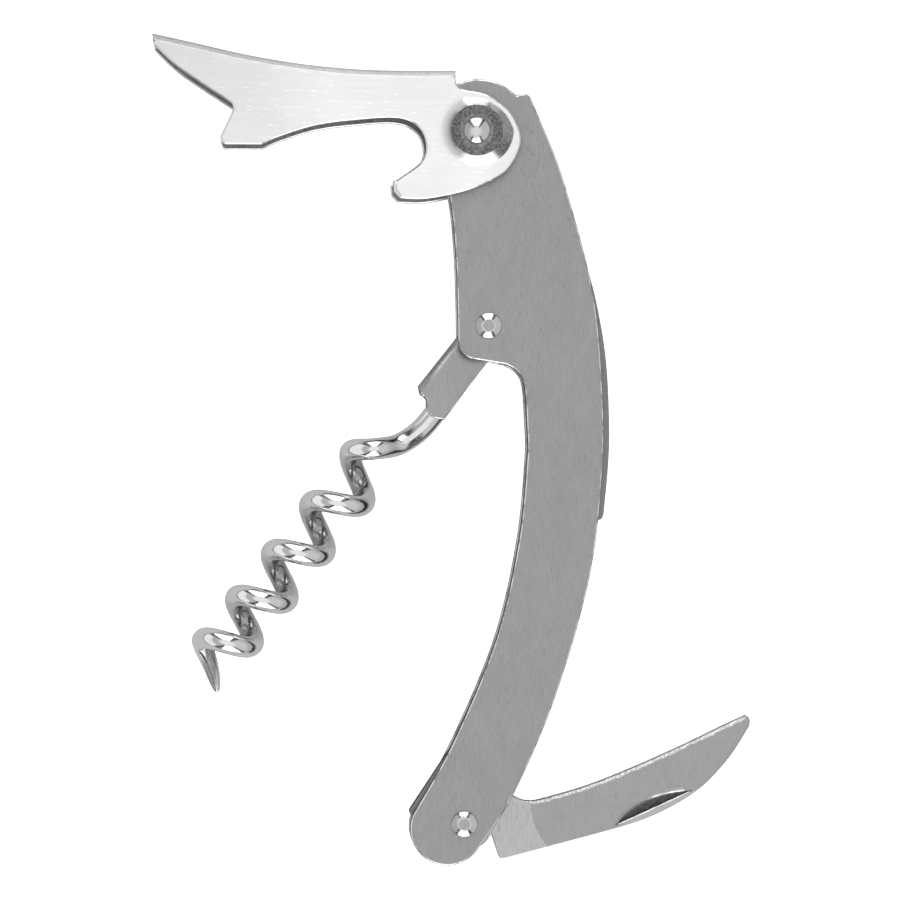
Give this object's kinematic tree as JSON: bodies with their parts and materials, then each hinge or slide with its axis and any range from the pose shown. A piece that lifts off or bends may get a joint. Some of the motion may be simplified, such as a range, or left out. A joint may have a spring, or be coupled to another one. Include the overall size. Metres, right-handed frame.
{
  "type": "waiters corkscrew",
  "caption": "Folding waiters corkscrew with curved steel handle, folded-sheet boot lever, wire worm in a sheet holder and a small foil blade.",
  "frame": {"origin": "centre of the footprint of the half-open part, on the plane that the part lies on, which is the outer face of the lever's lower flange", "axes": "+Y along the handle towards the lever, +X from the handle's concave side towards its convex side, +Z through the thickness, up from the surface the part lies on"},
  "size_m": [0.09, 0.124, 0.0112],
  "materials": {
    "brushed_plate": "fine brushed along the handle",
    "spring_steel": "dull satin with ground edges",
    "satin_lever": "bright satin with fine lengthwise grain",
    "brushed_holder": "fine brushed",
    "polished_wire": "polished",
    "polished_rivet": "polished",
    "blade_steel": "satin with a bright ground edge"
  },
  "bodies": {
    "handle": {"rear_plate": "brushed_plate", "front_plate": "brushed_plate", "lever_rivet": "polished_rivet", "lever_bush": "polished_rivet", "worm_rivet": "polished_rivet", "worm_bush": "polished_rivet", "blade_rivet": "polished_rivet", "blade_washer_rear": "polished_rivet", "blade_washer_front": "polished_rivet"},
    "lever": {"lever": "satin_lever"},
    "worm": {"worm_holder": "brushed_holder", "worm_wire": "polished_wire"},
    "blade": {"blade": "blade_steel"},
    "back_spring": {"back_spring": "spring_steel"},
    "spring_arm": {"spring_arm": "spring_steel"}
  },
  "joints": [
    {"name": "lever_pivot", "type": "hinge", "parent": "handle", "child": "lever", "pos_m": [0.00384, 0.04797, 0.0056], "axis": [0, 0, 1], "range_deg": [-66, 80]},
    {"name": "worm_pivot", "type": "hinge", "parent": "handle", "child": "worm", "pos_m": [0.00564, 0.01881, 0.0056], "axis": [0, 0, 1], "range_deg": [-52, 29]},
    {"name": "blade_pivot", "type": "hinge", "parent": "handle", "child": "blade", "pos_m": [0.002, -0.0558, 0.0056], "axis": [0, 0, 1], "range_deg": [-134, 46]},
    {"name": "spring_flex", "type": "hinge", "parent": "handle", "child": "back_spring", "pos_m": [0.00384, 0.04797, 0.0056], "axis": [0, 0, 1], "range_deg": [-0.8, 0], "stiffness_Nm_per_rad": 1},
    {"name": "spring_arm_flex", "type": "hinge", "parent": "back_spring", "child": "spring_arm", "pos_m": [0.0144, -0.0045, 0.0056], "axis": [0, 0, -1], "range_deg": [-1.4, 0], "stiffness_Nm_per_rad": 1}
  ]
}
